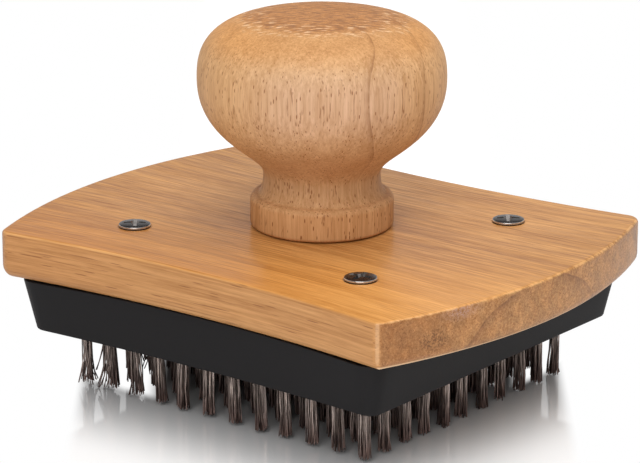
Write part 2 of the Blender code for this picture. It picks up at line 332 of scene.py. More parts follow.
def wood_grain(start, pith, turn, ring_width, first_ring, pores_per_mm, pore_share, pore_rate, waist=0):
    """What the wood is like at a point of its surface, as a dictionary of values from 0 to 1."""
    x, y, z = [start.place().part(axis) for axis in "XYZ"]
    along = x / grain_half_length
    y = y * (1 + waist * (1 - along * along))
    in_log = {"Vector": start.xyz(x, y, z), "Location": pith, "Rotation": turn, "Scale": [1 / MM] * 3}
    log = start.node("ShaderNodeMapping", in_log)

    def noise(across, along, detail=3.0, roughness=0.5):
        """Noise drawn out along the grain, its sizes given in bumps for each millimetre."""
        return log.vector("MULTIPLY", (across, across, along)).noise(1.0, detail, roughness)

    sway = noise(0.05, 0.012, 2.0) * slow_sway + noise(0.3, 0.02, 2.0) * quick_sway
    distance = log.vector("MULTIPLY", (1, 1, 0)).vector("LENGTH") + sway - mean_sway
    phase = ((distance - first_ring) / ring_width).math("FRACT")
    late = phase ** ring_sharpness * phase.step(0.985, 1.0, 1, 0)
    late = late * distance.step(first_ring - 8, first_ring - 5)

    crowd = noise(0.12, 0.02, 2.0).step(0.35, 0.65, 0.35, 1.0)
    cells = {"Vector": log.vector("MULTIPLY", (pores_per_mm, pores_per_mm, pore_rate)), "Scale": 1.0}
    nearest = start.node("ShaderNodeTexVoronoi", cells)
    open_cell = nearest.out("Color").part("X").math("LESS_THAN", crowd * pore_share)
    dash_crowd = noise(0.15, 0.03, 2.0).step(0.4, 0.6, 0.1, 1.0)
    return {
        "late": late * noise(0.15, 0.20, 3.0, 0.7).step(0.35, 0.6, 0.5, 1.0),
        "bands": noise(0.16, 0.006, 3.0).step(0.3, 0.7),
        "streaks": noise(0.5, 0.02, 4.0, 0.65).step(*usual_range),
        "fibres": noise(1.5, 0.09, 4.0, 0.7).step(*usual_range),
        "fine": noise(1.5, 0.03, 4.0, 0.75).step(*usual_range),
        "dashes": noise(2.3, pore_rate / 2, 2.0).step(0.60, 0.68) * dash_crowd,
        "speckle": noise(1.7, 1.7, 4.0, 0.8).step(*usual_range),
        "patches": noise(0.22, 0.22, 4.0, 0.6).step(0.38, 0.62),
        "pores": nearest.step(0.14, 0.26, 1, 0) * open_cell,
    }


def wood_colour(grain, contrast, pale, deep, line, pore, line_share, pore_share, dash_share):
    """Bands and fibres between a pale and a deep colour, darker at each ring's edge and in the pores."""
    share = sum(grain[name] * weight for name, weight in tone_weights.items())
    colour = ((share - 0.5) * contrast + 0.5).blend(deep, pale)
    colour = (grain["dashes"] * dash_share).blend(colour, pore)
    colour = (grain["late"] * line_share).blend(colour, line)
    return (grain["pores"] * pore_share).blend(colour, pore)


def toned(colour, *tones):
    """Lays tones over a colour in turn. Each has a share, a colour and either tint or cover."""
    for share, tone, how in tones:
        colour = share.blend(colour, tone, how)
    return colour


def finish_wood(start, grain, colour, roughness, lacquer):
    """The shader under a thin coat of lacquer, with fibres and pores as a fine relief."""
    relief = grain["fibres"] * 0.25 + grain["streaks"] * 0.3 - grain["pores"]
    bump = start.node("ShaderNodeBump", {"Strength": 0.35, "Distance": 0.05 * MM, "Height": relief})
    look = {"Base Color": colour, "Roughness": grain["streaks"] * 0.10 + roughness, "Normal": bump,
            "Specular IOR Level": 0.18, "Coat Weight": lacquer, "Coat Roughness": 0.20}
    shader = start.node("ShaderNodeBsdfPrincipled", look)
    start.node("ShaderNodeOutputMaterial", {"Surface": shader})
    print("nodes in this wood:", len(start.tree.nodes))


# %% [markdown]
# ## The board's grain, and where its looks change
# The board is sawn along the tree, so its grain runs along the long sides. Its pith lies just under
# the board, so one growth ring shows as an arch on each end and grazes the top. Real wood isn't even:
# the lacquer gathers, corners are worn, and an end soaks up more of it. Light and shade are painted
# into the finish as well: a glow on the front of the top, and highlights on the upper edge, on the
# lower edge of the ends and on the front corner. So the finish needs masks, which are values from 0
# to 1 that say where a face, an edge or a place is. Faces are told apart by the direction they point
# in, and places by their coordinates.

# %% Board grain and masks
board_pith = (9.9, 5.2, 0.0)
board_ring_width = 30.0
board_first_ring = 33.8
board_top = 42.5 * MM
board_under = 30.1 * MM
board_front_corner = (60.2 * MM, -55.8 * MM, 0)
torn_place = (68 * MM, -41 * MM, 35.5 * MM)
burnt_place = (68 * MM, -33 * MM, 41.5 * MM)

board_wood, start = new_material("board_wood")
grain = wood_grain(start, board_pith, (0, math.radians(-90), 0), board_ring_width, board_first_ring,
                   pores_per_mm=1.7, pore_share=0.30, pore_rate=0.10, waist=0.085)
here = start.place()
x, y, height = [here.part(axis) for axis in "XYZ"]
outward = start.node("ShaderNodeTexCoord", output="Normal")
end = outward.part("X").step(0.5, 0.8) + outward.part("X").step(-0.65, -0.35, 1, 0)
upward = outward.part("Z").step(0.5, 0.95)
sideways = 1 - upward

# Painted highlight along the eased upper edge, broken up by the streaks.
top_edge_highlight = height.step(board_top - 0.55 * MM, board_top - 0.35 * MM)
top_edge_highlight = top_edge_highlight * height.step(board_top - 0.10 * MM, board_top - 0.02 * MM, 1, 0) * grain["streaks"]
# Painted highlight on the rounded lower edge of the ends, which faces down into shade.
low_edge_highlight = height.step(board_under + 0.7 * MM, board_under + 1.3 * MM, 1, 0)
low_edge_highlight = low_edge_highlight * outward.part("X").step(0.1, 0.3)
# The front corner's upright edge is worn, and a painted highlight lies on it too.
corner_wear_and_highlight = here.far_from(board_front_corner, (1, 1, 0)).step_mm(0.3, 0.7, 0.25, 0) * sideways
wear_and_highlight = low_edge_highlight.math("MAXIMUM", corner_wear_and_highlight)

# A warm glow over the front of the top: partly the lacquer's own orange, partly painted light.
warm_tone_and_glow = (x * 0.35 - y * 0.94).step_mm(5, 60) * upward
# The front corner, where the top is painted brighter as a highlight.
at_corner = (x * 0.8 - y * 0.6).step_mm(42, 72)
# The front strip of the top is more orange: partly lacquer tone, partly a painted glow.
front_strip_tone_and_glow = y.step_mm(-42, -8, 1, 0) * upward * (1 - at_corner)
far_ends = x.math("ABSOLUTE").step_mm(45, 66) * upward * (1 - at_corner)
left_side = x.step_mm(-45, -12, 1, 0) * y.step_mm(-45, -20, 1, 0)
# The ends are darker towards the front long side.
front_end_darkening = y.step_mm(-50, -22, 1, 0) * end
torn = here.far_from(torn_place, (0, 1 / MM, 1.6 / MM)).step(1.0, 6.0, 1, 0)
torn = torn * grain["speckle"].step(0.2, 0.6, 1, 0) * end
burnt = here.far_from(burnt_place, (0, 0.5 / MM, 1.2 / MM)).step(0.5, 4.0, 1, 0)
burnt = burnt * grain["speckle"].step(0.3, 0.8) * end
print("pith", board_pith, "and first ring", board_first_ring, "mm")

# %% [markdown]
# ## Board finish
# The top is orange along the front long side, partly from the lacquer's own tone and partly as a
# painted glow, and a painted highlight makes it brightest at the front corner. Painted highlights run
# along the upper edges, along the lower edge of the ends and down the worn front corner. The ends show
# cut fibres as a speckle, are darker towards the front long side, and have a torn spot and a burnt one
# near the front corner. Each of these is one line of a table: how much, which tone, and whether the
# tone tints the wood under it or covers it.

# %% Board finish
board_pale = (0.74, 0.375, 0.126, 1)
board_deep = (0.37, 0.145, 0.032, 1)
board_line = (0.25, 0.10, 0.038, 1)
board_pore = (0.25, 0.085, 0.025, 1)

colour = wood_colour(grain, upward * 0.7 + 0.8, board_pale, board_deep, board_line, board_pore,
                     line_share=end, pore_share=0.8, dash_share=0.7)
rough_end = grain["speckle"].blend((0.69, 0.66, 0.65, 1), (0.99, 1.05, 1.15, 1))
colour = toned(
    colour,
    (warm_tone_and_glow * 0.35, (0.90, 0.40, 0.09, 1), cover),
    (front_strip_tone_and_glow, (0.91, 0.83, 0.66, 1), tint),
    (at_corner * upward, (1.05, 1.05, 1.02, 1), tint),
    (far_ends, (0.93, 0.90, 0.80, 1), tint),
    (left_side, (0.94, 0.90, 0.86, 1), tint),
    (sideways, (0.98, 1.00, 1.16, 1), tint),
    (end, rough_end, tint),
    (end * grain["patches"] * 0.8, (1.14, 1.10, 1.06, 1), tint),
    (end * (1 - grain["patches"]) * 0.8, (0.88, 0.87, 0.88, 1), tint),
    (torn * 0.6, (0.10, 0.045, 0.02, 1), cover),
    (burnt * 0.45, (0.42, 0.30, 0.32, 1), cover),
    (front_end_darkening, (0.82, 0.74, 0.68, 1), tint),
    (top_edge_highlight * 0.5, (0.90, 0.52, 0.22, 1), cover),
    (wear_and_highlight, (0.90, 0.61, 0.37, 1), cover))
finish_wood(start, grain, colour, roughness=0.45, lacquer=0.25)

# %% [markdown]
# ## Knob finish
# The knob stands on end in the tree: its grain is upright, and its pith runs down one side of it. Two
# growth rings show as thin dark lines down the other side. A sheen is painted across it as seen from
# the camera: its sides are a little more golden than its middle, which is paler. It is painted darker
# towards the foot, as shade under the bulb. The turning tool tore the end grain on the crown, which
# left a browner patch with dark strands, and pale fibres round its edge.

# %% Knob finish
knob_pith = (-8.0, 23.0, 0.0)
knob_ring_width = 13.4
knob_first_ring = 20.4
crown_middle = (-2 * MM, 3 * MM, 0)
knob_pale = (0.735, 0.465, 0.265, 1)
knob_deep = (0.505, 0.275, 0.124, 1)
knob_line = (0.27, 0.115, 0.045, 1)
knob_pore = (0.29, 0.12, 0.045, 1)

knob_wood, start = new_material("knob_wood")
grain = wood_grain(start, knob_pith, (0, 0, 0), knob_ring_width, knob_first_ring,
                   pores_per_mm=1.45, pore_share=0.95, pore_rate=0.34)
here = start.place()
height = here.part("Z")
across, nearer = picture_ways(here)
showing = height.step_mm(84, 94, 1.0, 0.5)
line_share = across.step_mm(-8, 8, 0.25, 0.9) * height.step_mm(58, 66, 0.3, 1)
# Painted sheen: as seen from the camera, the knob's sides keep a deeper, more golden tone and its middle is
# paler.
sides_without_sheen = across.step_mm(-26, -8, 1, 0) + across.step_mm(14, 26)
middle_sheen = (1 - sides_without_sheen) * height.step_mm(68, 78) * height.step_mm(84, 92, 1, 0)
# Painted shade: darker under the bulb, down the neck and over the foot.
low = height.step_mm(64, 82, 1, 0) * height.step_mm(48, 54, 0.7, 1.0)
foot = height.step_mm(49, 55, 1, 0)

ragged = here.far_from(crown_middle, (1 / MM, 1 / MM, 0)) + here.noise(0.35 / MM, 3.0, 0.6) * 8 - 4
on_top = height.step_mm(88, 92)
crown = ragged.step(18, 23, 1, 0) * on_top
strands = start.xyz(across * (0.34 / MM), nearer * (1.15 / MM)).noise(1.0, 3.0)
fuzz = strands.step(0.575, 0.63) * ragged.step(12, 17) * ragged.step(22, 25, 1, 0) * on_top

colour = wood_colour(grain, 1.3, knob_pale, knob_deep, knob_line, knob_pore,
                     line_share, pore_share=showing, dash_share=showing * 0.7)
colour = toned(
    colour,
    (sides_without_sheen, (1.06, 1.0, 0.88, 1), tint),
    (middle_sheen, (1.0, 1.0, 1.10, 1), tint),
    (low, (0.87, 0.83, 0.76, 1), tint),
    (foot, (1.0, 0.90, 0.78, 1), tint),
    (height.step_mm(88, 95), (0.98, 0.84, 0.63, 1), tint),
    (crown * 0.8, (0.88, 0.75, 0.63, 1), tint),
    (strands.step(0.38, 0.56, 1.0, 0) * crown, (0.34, 0.15, 0.06, 1), cover),
    (fuzz * 0.5, (0.98, 0.76, 0.50, 1), cover))
finish_wood(start, grain, colour, roughness=0.56, lacquer=0.03)

# %% [markdown]
# ## Plastic, plated steel and steel wire
# The block is moulded from matt black plastic, the screws are plated steel with a soft polish, and
# the wires are oily spring steel. Each is a colour between two, chosen by a fine noise, with that
# noise again in the roughness or the relief. Two of them have painted light and shade as well: the
# screw heads carry a painted dark reflection on top and painted shade in their recesses, and the
# wires are painted darker and browner towards their tips, as shade near the floor.

# %% Plastic and metal finishes
screw_box = [Vector(corner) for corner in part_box("board_screw_right")]
screw_place = (screw_box[0] + screw_box[1]) / 2
recess_outer_mm = 3.4
# Painted shade for the cross recesses, and a painted dark reflection for the heads' tops.
recess_shade_tint = (0.38, 0.37, 0.37, 1)
dark_reflection_tint = (0.052, 0.046, 0.047, 1)
# Painted shade for the lower part of the wires, near the floor.
tip_shade_tint = (0.50, 0.40, 0.39, 1)


def dark_faces(start, colour):
    """Steel whose flat upper faces carry a painted dark reflection, with painted shade in the recesses; the
    rims keep the plain steel colour.
    """
    # Painted shade in the cross recess and a painted dark reflection on the upward faces.
    at_screw = start.place().vector("ABSOLUTE").far_from((screw_place.x, screw_place.y, 0), (1, 1, 0))
    in_recess = at_screw.step_mm(recess_outer_mm - 0.1, recess_outer_mm, 1, 0)
    upward = start.node("ShaderNodeTexCoord", output="Normal").part("Z").step(0.75, 0.95)
    return upward.blend(in_recess.blend(colour, recess_shade_tint, tint), dark_reflection_tint)


def shaded_tips(start, colour):
    """Wires painted darker and browner towards their tips, as shade near the floor."""
    return start.place().part("Z").step_mm(1, 11, 1, 0).blend(colour, tip_shade_tint, tint)


def simple_finish(name, first, second, grains_per_mm, roughness, metallic, relief=0.0, specular=0.5,
                  change=None, height_share=1.0):
    """A material between two colours. A height share below 1 draws its grains out upwards."""
    material, start = new_material(name)
    here = start.place().vector("MULTIPLY", (1, 1, height_share))
    noise = here.noise(grains_per_mm / MM, 4.0, 0.6)
    colour = noise.step(0.3, 0.7).blend(first, second)
    shader = {"Base Color": change(start, colour) if change else colour, "Metallic": metallic,
              "Roughness": noise * roughness * 0.4 + roughness * 0.8, "Specular IOR Level": specular}
    if relief:
        lump = {"Strength": 0.4, "Distance": relief, "Height": noise}
        shader["Normal"] = start.node("ShaderNodeBump", lump)
    surface = start.node("ShaderNodeBsdfPrincipled", shader)
    start.node("ShaderNodeOutputMaterial", {"Surface": surface})
    return material


black_plastic = simple_finish("black_plastic", (0.0052, 0.0044, 0.0049, 1), (0.0086, 0.0074, 0.0081, 1),
                              grains_per_mm=2.5, roughness=0.58, metallic=0.0, relief=0.02 * MM,
                              specular=0.22)
plated_steel = simple_finish("plated_steel", (0.50, 0.47, 0.44, 1), (0.66, 0.63, 0.60, 1),
                             grains_per_mm=1.2, roughness=0.28, metallic=0.85, relief=0.01 * MM,
                             change=dark_faces)
steel_wire = simple_finish("steel_wire", (0.060, 0.043, 0.038, 1), (0.56, 0.46, 0.41, 1),
                           grains_per_mm=2.6, roughness=0.38, metallic=0.85,
                           change=shaded_tips, height_share=0.06)
print("materials:", [material.name for material in bpy.data.materials])

# %% [markdown]
# ## A slab with rounded edges
# The board and the block are both slabs: a four-sided outline, repeated at several heights, each
# ring moved in or out a little to round an edge or to slope a wall. The outline of each ring has
# rounded corners. An extra ring just inside each flat face keeps that face's shading flat.

# %% Slabs
least_corner = 0.1 * MM


def rounded_rectangle(half_x, half_y, radii, steps, corner_steps=6):
    """Anticlockwise outline with a radius for each corner and its straight sides cut into steps."""
    arcs = []
    ends = ((half_x, half_y), (-half_x, half_y), (-half_x, -half_y), (half_x, -half_y))
    for i, (x, y) in enumerate(ends):
        centre = Vector((x - math.copysign(radii[i], x), y - math.copysign(radii[i], y)))
        turns = [math.pi / 2 * (i + k / corner_steps) for k in range(corner_steps + 1)]
        arcs.append([centre + radii[i] * Vector((math.cos(angle), math.sin(angle))) for angle in turns])
    points = []
    for arc, next_arc in zip(arcs, arcs[1:] + arcs[:1]):
        points += arc + [arc[-1].lerp(next_arc[0], k / steps) for k in range(1, steps)]
    return points


def edge_round(radius, height, upward, steps=5):
    """Insets and heights of rings that round an edge: from the flat face outwards, or the other way."""
    rings = []
    for k in range(steps + 1):
        angle = math.pi / 2 * k / steps
        rings.append((radius * (1 - math.sin(angle)), height + upward * radius * (1 - math.cos(angle))))
    return rings


def slab(name, half_x, half_y, corners, rings, steps=24):
    """A closed slab from rings of (inset, height), lowest first, and one radius for each corner."""
    bm = bmesh.new()
    layers = []
    for inset, height in rings:
        radii = [max(corner - inset, least_corner) for corner in corners]
        outline = rounded_rectangle(half_x - inset, half_y - inset, radii, steps)
        layers.append([bm.verts.new((point.x, point.y, height)) for point in outline])
    count = len(layers[0])
    for lower, upper in zip(layers, layers[1:]):
        for i in range(count):
            j = (i + 1) % count
            bm.faces.new((lower[i], lower[j], upper[j], upper[i]))
    bm.faces.new(list(reversed(layers[0])))
    bm.faces.new(layers[-1])
    return mesh_object(name, bm)


# %% [markdown]
# ## A rule that bows a slab
# The board's ends bow outwards and its long sides are drawn in, each along a parabola. That is one
# rule for the whole slab: a point moves along X by a share of the bow that depends on how far it is
# from the middle of the end, and along Y in the same way. Geometry Nodes apply it, with the sizes as
# named inputs, so the same tree also draws in the sides of the block, there with one waist at the
# lower edge and another at the top.

# %% Geometry trees


def new_geometry_tree(name, sizes, counts=()):
    """A geometry tree with named inputs: returns the tree and a Flow for each input by name."""
    tree = bpy.data.node_groups.new(name, "GeometryNodeTree")
    kinds = {"Geometry": "Geometry", **dict.fromkeys(sizes, "Float"), **dict.fromkeys(counts, "Int")}
    kinds["Finish"] = "Material"
    for label, kind in kinds.items():
        tree.interface.new_socket(label, in_out="INPUT", socket_type="NodeSocket" + kind)
    tree.interface.new_socket("Geometry", in_out="OUTPUT", socket_type="NodeSocketGeometry")
    entry = tree.nodes.new("NodeGroupInput")
    return tree, {socket.name: Flow(tree, socket) for socket in entry.outputs if socket.name}


def end_tree(geometry, material):
    """Ends a tree in Realize Instances and Set Material."""
    real = geometry.node("GeometryNodeRealizeInstances", {"Geometry": geometry})
    done = real.node("GeometryNodeSetMaterial", {"Geometry": real, "Material": material})
    done.node("NodeGroupOutput", {0: done})


def add_tree(obj, tree, values):
    """Puts a tree on an object and sets its inputs by their identifiers."""
    modifier = obj.modifiers.new(tree.name, "NODES")
    modifier.node_group = tree
    for item in tree.interface.items_tree:
        if item.in_out == "INPUT" and item.name in values:
            modifier[item.identifier] = values[item.name]


def applied(obj, smooth_degrees):
    """The object with its modifiers turned into plain mesh, smooth except at real edges."""
    mesh = bpy.data.meshes.new_from_object(obj.evaluated_get(bpy.context.evaluated_depsgraph_get()))
    obj.modifiers.clear()
    obj.data = mesh
    mesh.shade_smooth()
    mesh.set_sharp_from_angle(angle=math.radians(smooth_degrees))
    mesh.calc_loop_triangles()
    print(obj.name, "has", len(mesh.loop_triangles), "triangles")
    return obj


bow_sizes = ("Half X", "Half Y", "Low", "High", "End bow", "Low waist", "High waist")
bow_tree, given = new_geometry_tree("bow_and_waist", bow_sizes)
spot = given["Geometry"].node("GeometryNodeInputPosition")
share_x = spot.part("X") / given["Half X"]
share_y = spot.part("Y") / given["Half Y"]
new_x = spot.part("X") + share_x * given["End bow"] * (1 - share_y * share_y)
share_z = (spot.part("Z") - given["Low"]) / (given["High"] - given["Low"])
waist = given["Low waist"] + (given["High waist"] - given["Low waist"]) * share_z
new_y = spot.part("Y") - share_y * waist * (1 - share_x * share_x)
moved = {"Geometry": given["Geometry"], "Position": spot.xyz(new_x, new_y, spot.part("Z"))}
bowed = spot.node("GeometryNodeSetPosition", moved)
end_tree(bowed, given["Finish"])
print("nodes in the bowing rule:", len(bow_tree.nodes))

# %% [markdown]
# ## Turned shapes
# The knob, the screws and the countersunk holes are all turned: a half section that is spun round Z.
# The first and last points of a section lie on the axis, so each turned shape is closed.

# %% Turned shapes


def spin(bm, section, sides, centre=(0, 0), wave=None):
    """Spins a half section of (radius, height) points. A wave may change a radius by angle and height."""
    x, y = centre
    rings = []
    for radius, height in section[1:-1]:
        ring = []
        for i in range(sides):
            angle = 2 * math.pi * i / sides
            reach = radius + (wave(angle, radius, height) if wave else 0)
            ring.append(bm.verts.new((x + reach * math.cos(angle), y + reach * math.sin(angle), height)))
        rings.append(ring)
    low = bm.verts.new((x, y, section[0][1]))
    high = bm.verts.new((x, y, section[-1][1]))
    for i in range(sides):
        j = (i + 1) % sides
        bm.faces.new((low, rings[0][j], rings[0][i]))
        for lower, upper in zip(rings, rings[1:]):
            bm.faces.new((lower[i], lower[j], upper[j], upper[i]))
        bm.faces.new((high, rings[-1][i], rings[-1][j]))
    bmesh.ops.recalc_face_normals(bm, faces=bm.faces)


def spin_at_screws(bm, section, sides):
    """The same turned shape at the place of each board screw."""
    for side_x in (-1, 1):
        for side_y in (-1, 1):
            spin(bm, section, sides, (side_x * screw_place.x, side_y * screw_place.y))


def cut(obj, cutter):
    """A live Boolean that cuts a closed shape out of an object."""
    modifier = obj.modifiers.new(cutter.name, "BOOLEAN")
    modifier.operation = "DIFFERENCE"
    modifier.solver = "EXACT"
    modifier.object = cutter


def discard(*helpers):
    """Removes shapes that only served as cutters."""
    for helper in helpers:
        bpy.data.objects.remove(helper, do_unlink=True)


# %% [markdown]
# ## Board
# The board is a slab with an eased upper edge, a well rounded lower one and corners that were sanded
# by hand, the front one least. It is bowed by the rule above. Its heights and its length come from
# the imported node.

# %% Board
board_low, board_high = [Vector(corner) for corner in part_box("board")]
board_end_bow = 11.6 * MM
board_half_x = board_high.x - board_end_bow
board_half_y = 56.3 * MM
board_side_waist = 4.6 * MM
board_corners = (3.2 * MM, 2.6 * MM, 2.8 * MM, 2.1 * MM)
top_ease = 0.9 * MM
under_round = 3.3 * MM
flat_margin = 0.3 * MM

rings = [(under_round + flat_margin, board_low.z)] + edge_round(under_round, board_low.z, 1)
rings += reversed(edge_round(top_ease, board_high.z, -1))
rings += [(top_ease + flat_margin, board_high.z)]
board = slab("board_fine", board_half_x, board_half_y, board_corners, rings)
add_tree(board, bow_tree, {"Half X": board_half_x, "Half Y": board_half_y, "Low": board_low.z,
                           "High": board_high.z, "End bow": board_end_bow, "Low waist": board_side_waist,
                           "High waist": board_side_waist, "Finish": board_wood})
print("board:", round(2 * board_high.x / MM, 1), "mm long over its bowed ends")

# %% [markdown]
# ## Holes in the board
# Five countersunk holes go through the board: four from above for the board screws, and one from
# below for the long screw that holds the knob. A hole is a turned shape like its screw, a little
# wider. The cutters reach past both faces, because one that ends in a face can leave a skin there.

# %% Holes in the board
screw_head_radius = 4.1 * MM
screw_shank_radius = 2.0 * MM
screw_head_proud = 0.3 * MM
screw_cone_depth = 2.2 * MM
screw_sides = 40
knob_screw_head_radius = 4.6 * MM
knob_screw_shank_radius = 2.4 * MM
knob_screw_cone_depth = 2.7 * MM
gap = 0.3 * MM
past = 1.0 * MM

screw_slope = (screw_head_radius - screw_shank_radius) / screw_cone_depth
cone_low = board_high.z + screw_head_proud - screw_cone_depth - gap
shank = screw_shank_radius + gap
screw_hole = [(0, board_low.z - past), (shank, board_low.z - past), (shank, cone_low),
              (shank + screw_slope * (board_high.z + past - cone_low), board_high.z + past),
              (0, board_high.z + past)]
knob_slope = (knob_screw_head_radius - knob_screw_shank_radius) / knob_screw_cone_depth
cone_high = board_low.z + knob_screw_cone_depth + gap
shank = knob_screw_shank_radius + gap
knob_hole = [(0, board_low.z - past),
             (shank + knob_slope * (cone_high - board_low.z + past), board_low.z - past),
             (shank, cone_high), (shank, board_high.z + past), (0, board_high.z + past)]
bm = bmesh.new()
spin_at_screws(bm, screw_hole, screw_sides)
spin(bm, knob_hole, screw_sides)
holes = mesh_object("board_holes", bm)
cut(board, holes)
applied(board, smooth_degrees=30)
discard(holes)
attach(board, "root")
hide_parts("board")

# %% [markdown]
# ## Knob
# The knob is one turned piece. From the bottom its half section has a short upright foot with a small
# ledge, a hollow up to the neck, one long S-curve out to the round bulb, and a crown that is flatter
# than a ball. The S-curve is a cubic curve, and the crown a rounded ellipse.

# %% Knob
knob_low, knob_high = [Vector(corner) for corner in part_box("knob")]
knob_height = knob_high.z - knob_low.z
bulb_radius = 31.8 * MM
bulb_middle = 38.5 * MM
bulb_handle = 16.0 * MM
neck_radius = 15.0 * MM
neck_middle = 13.5 * MM
neck_handle = 6.0 * MM
foot_radius = 18.4 * MM
foot_height = 8.3 * MM
foot_rim_round = 1.7 * MM
foot_edge_round = 1.0 * MM
crown_round_share = 0.56
crown_rise_share = 0.76
pilot_top = 42.3 * MM - (knob_low.z - board_low.z)
pilot_point = 4.0 * MM
curve_steps = 32
knob_sides = 144


def quarter(steps):
    """Angles from 0 to a right one."""
    return [math.pi / 2 * k / steps for k in range(steps + 1)]


def knob_section():
    """Half section of the knob above its own foot, from the top of the pilot hole outwards and up."""
    bore = knob_screw_shank_radius + gap
    section = [(0, pilot_top), (bore, pilot_top - pilot_point), (bore, 0)]
    for angle in quarter(6):
        section.append((foot_radius - foot_edge_round * (1 - math.sin(angle)),
                        foot_edge_round * (1 - math.cos(angle))))
    rim = foot_radius - foot_rim_round
    for angle in quarter(8):
        section.append((rim + foot_rim_round * math.cos(angle),
                        foot_height - foot_rim_round * (1 - math.sin(angle))))
    for angle in reversed(quarter(12)[:-1]):
        section.append((neck_radius + (rim - neck_radius) * (1 - math.cos(angle)),
                        neck_middle - (neck_middle - foot_height) * math.sin(angle)))
    curve = (Vector((neck_radius, neck_middle)), Vector((neck_radius, neck_middle + neck_handle)),
             Vector((bulb_radius, bulb_middle - bulb_handle)), Vector((bulb_radius, bulb_middle)))
    for k in range(1, curve_steps + 1):
        t = k / curve_steps
        s = 1 - t
        bend = curve[0] * s**3 + curve[1] * 3 * s * s * t
        section.append(tuple(bend + curve[2] * 3 * s * t * t + curve[3] * t**3))
    crown = knob_height - bulb_middle
    for angle in quarter(curve_steps)[1:-1]:
        section.append((bulb_radius * math.cos(angle) ** crown_round_share,
                        bulb_middle + crown * math.sin(angle) ** crown_rise_share))
    return section + [(0, knob_height)]


bm = bmesh.new()
spin(bm, [(radius, height + knob_low.z) for radius, height in knob_section()], knob_sides)
knob = mesh_object("knob_fine", bm)
knob.data.materials.append(knob_wood)
applied(knob, smooth_degrees=35)
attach(knob, "root")
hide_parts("knob")

# %% [markdown]
# ## Screws
# Wood screws have a sharp thread that is thinner than the plain shank above it. The thread here is a
# spun section whose radius rises and falls with height and angle together, which is what a helix is.
# The cross recess is cut by a shape like the tip of the driver: four wings that narrow with depth.

# %% Screw shapes
thread_pitch = 1.7 * MM
thread_depth = 0.55 * MM
rim_height = 0.3 * MM
head_rise = 0.5 * MM
screw_length = 17.5 * MM
screw_point = 3.0 * MM
recess_reach = 3.2 * MM
recess_half = 0.6 * MM
recess_depth = 1.9 * MM
recess_low_share = 0.42
recess_high_share = 1.25
recess_half_shares = (0.55, 0.45)
recess_heart_share = 2.1
recess_weld = 0.001 * MM
plain_shank = 2.5 * MM
thread_end = 0.4 * MM


def threaded(start, goal, radius, steps_per_turn=8):
    """Ring heights and radii along a thread, from its point at start to its end at goal."""
    direction = math.copysign(1, goal - start)
    count = int(abs(goal - start) / thread_pitch * steps_per_turn)
    return [(radius, start + direction * thread_pitch / steps_per_turn * k) for k in range(1, count)]


def thread_wave(low, high, point_low):
    """A wave for spin() that raises a helical ridge between two heights and tapers at the point."""
    def wave(angle, radius, height):
        if not low <= height <= high:
            return 0
        turn = (height / thread_pitch - angle / (2 * math.pi)) % 1
        ridge = thread_depth * (abs(2 * turn - 1) - 1)
        reach = abs(height - (low if point_low else high)) / screw_point
        return (radius + ridge) * min(reach, 1) - radius
    return wave


# %% [markdown]
# ## Board screws
# The four raised heads stand a little proud of the board. One screw is made at the origin, and a
# geometry tree puts a copy at each corner of a grid. The first has one arm of its cross along the
# picture, and each next one is turned a little further, as screws end up wherever they bite.

# %% Board screws
rim_low = board_high.z + screw_head_proud
rim_top = rim_low + rim_height
tip = rim_top - screw_length
thread_top = rim_low - screw_cone_depth - plain_shank
section = [(0, tip)] + threaded(tip, thread_top, screw_shank_radius)
section += [(screw_shank_radius, thread_top + thread_end),
            (screw_shank_radius, rim_low - screw_cone_depth), (screw_head_radius, rim_low),
            (screw_head_radius, rim_top)]
for angle in quarter(10)[1:-1]:
    section.append((screw_head_radius * math.cos(angle), rim_top + head_rise * math.sin(angle)))
section.append((0, rim_top + head_rise))
bm = bmesh.new()
spin(bm, section, screw_sides, wave=thread_wave(tip, thread_top, True))
screws = mesh_object("board_screws_fine", bm)

bm = bmesh.new()
layers = []
head_top = rim_top + head_rise
for height, share in ((head_top - recess_depth, recess_low_share), (head_top + past, recess_high_share)):
    reach = recess_reach * share
    half = recess_half * (recess_half_shares[0] + recess_half_shares[1] * share)
    heart = max(recess_half * recess_heart_share * share, half)
    wing = [Vector((reach, -half)), Vector((reach, half)), Vector((heart, half)), Vector((half, heart))]
    ring = [Matrix.Rotation(math.pi / 2 * k, 2) @ point for k in range(4) for point in wing]
    layers.append([bm.verts.new((point.x, point.y, height)) for point in ring])
for i in range(len(ring)):
    j = (i + 1) % len(ring)
    bm.faces.new((layers[0][i], layers[0][j], layers[1][j], layers[1][i]))
bm.faces.new(list(reversed(layers[0])))
bm.faces.new(layers[1])
bmesh.ops.remove_doubles(bm, verts=bm.verts, dist=recess_weld)
recess = mesh_object("recess", bm)
cut(screws, recess)

corner_sizes = ("Spacing X", "Spacing Y", "First turn", "Turn")
corner_tree, given = new_geometry_tree("screws_at_corners", corner_sizes)
grid_sizes = {"Size X": given["Spacing X"], "Size Y": given["Spacing Y"], "Vertices X": 2, "Vertices Y": 2}
grid = given["Turn"].node("GeometryNodeMeshGrid", grid_sizes)
turn = grid.node("GeometryNodeInputIndex") * given["Turn"] + given["First turn"]
copies = {"Points": grid, "Instance": given["Geometry"], "Rotation": grid.xyz(z=turn)}
end_tree(grid.node("GeometryNodeInstanceOnPoints", copies), given["Finish"])
add_tree(screws, corner_tree, {"Spacing X": 2 * screw_place.x, "Spacing Y": 2 * screw_place.y,
                               "First turn": orbit_azimuth, "Turn": math.radians(30), "Finish": plated_steel})
applied(screws, smooth_degrees=30)
discard(recess)
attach(screws, "root")
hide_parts("board_screw_front", "board_screw_right", "board_screw_left", "board_screw_back")

# %% [markdown]
# ## Knob screw
# One long flat-head screw comes up through the board into the knob. It can't be seen once the block
# is on, but it is what holds the knob.

